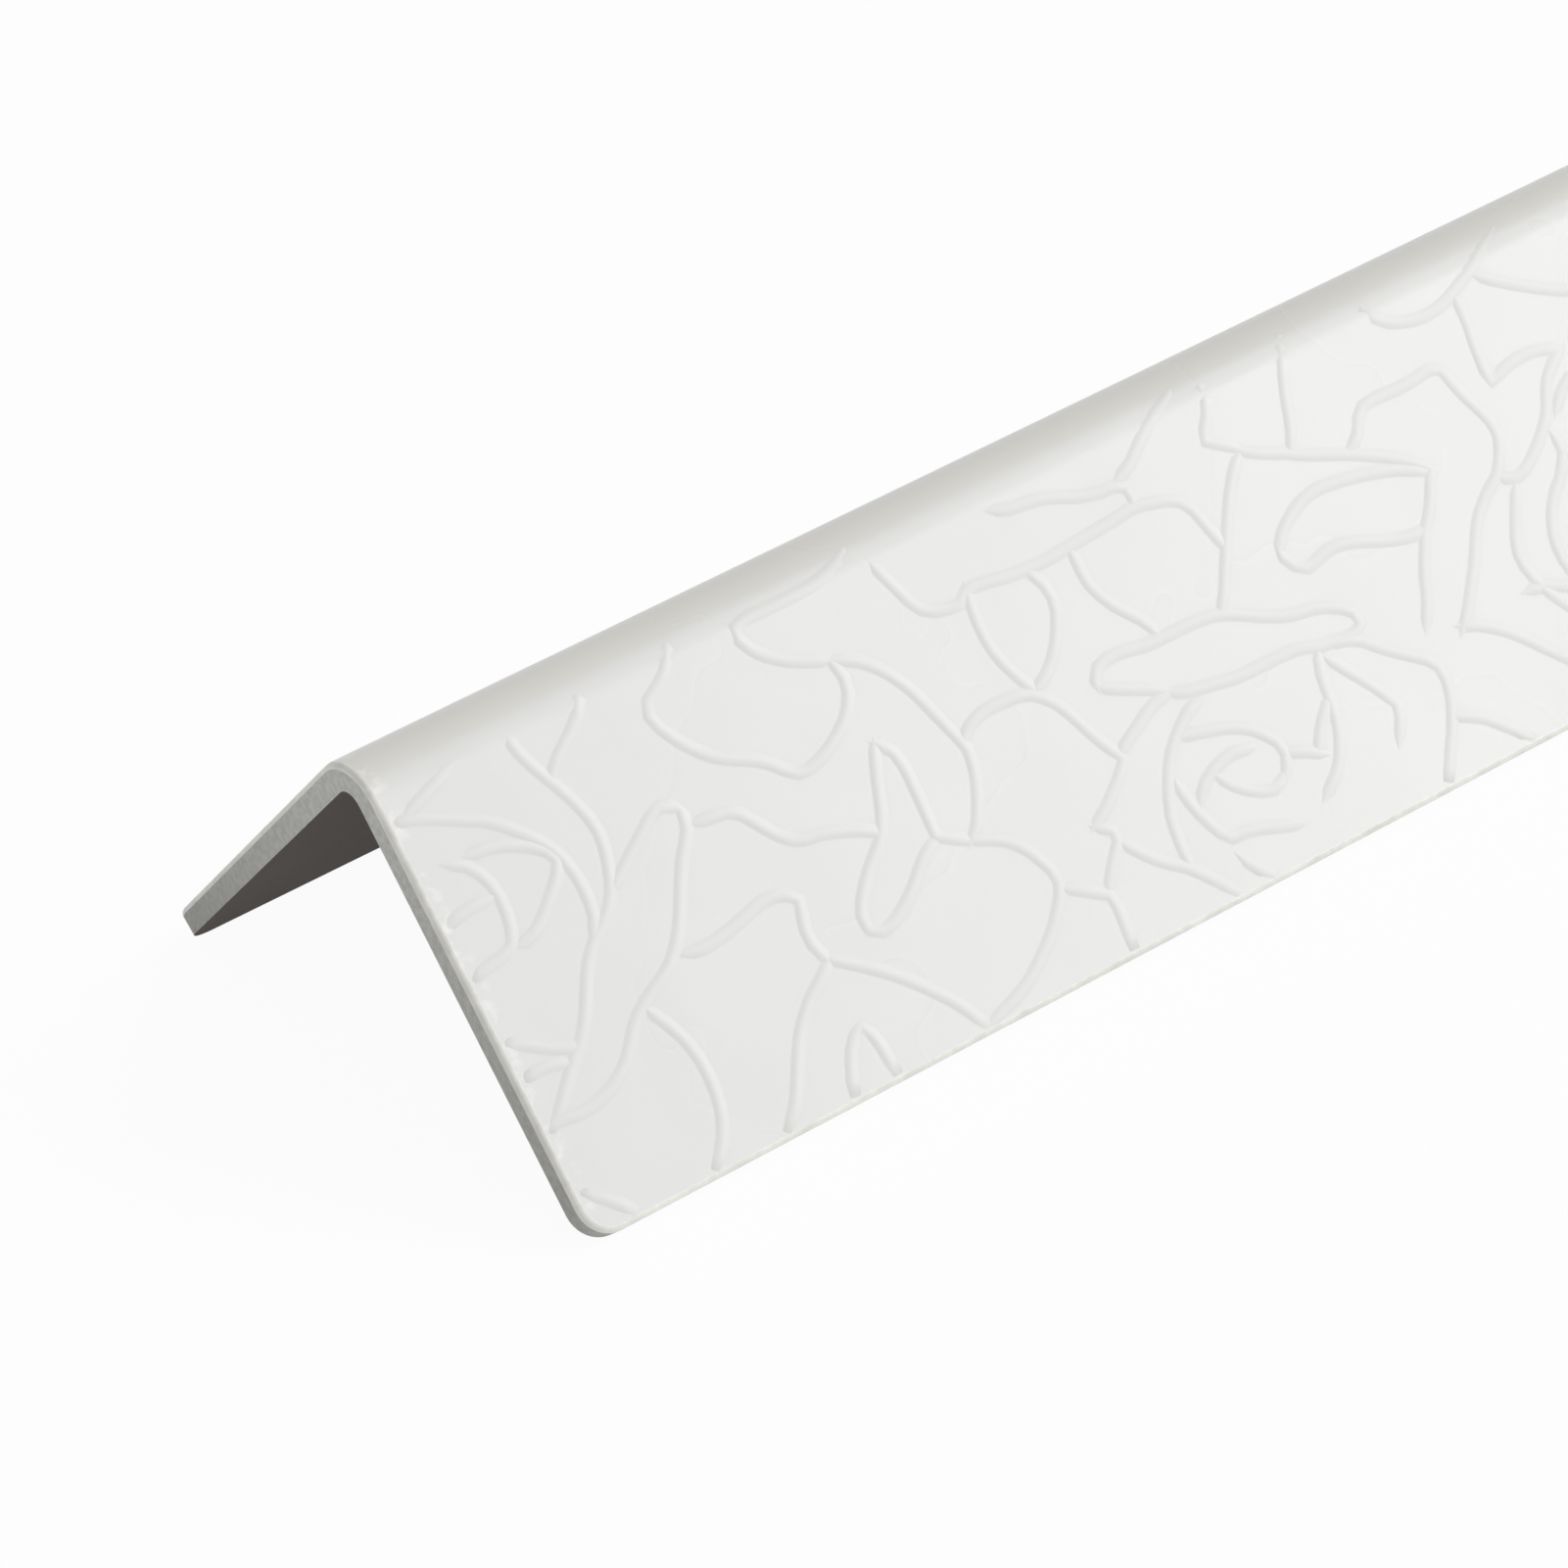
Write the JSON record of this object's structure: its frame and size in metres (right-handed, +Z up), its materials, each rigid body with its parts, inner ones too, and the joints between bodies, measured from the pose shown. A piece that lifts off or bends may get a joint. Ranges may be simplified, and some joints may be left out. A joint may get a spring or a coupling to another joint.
{
  "type": "corner guard moulding",
  "caption": "Extruded angle moulding with two equal embossed flanges and a rounded ridge, to cover an outside wall corner.",
  "frame": {"origin": "middle of the footprint, on the level surface that the two free edges lie on", "axes": "+X along the length, +Z up through the ridge, +Y towards the flange that the picture shows from its end"},
  "size_m": [1, 0.0394, 0.0219],
  "materials": {
    "white_pvc": "satin white rigid PVC, plain inside"
  },
  "bodies": {
    "root": {"corner_guard": "white_pvc"}
  },
  "joints": []
}
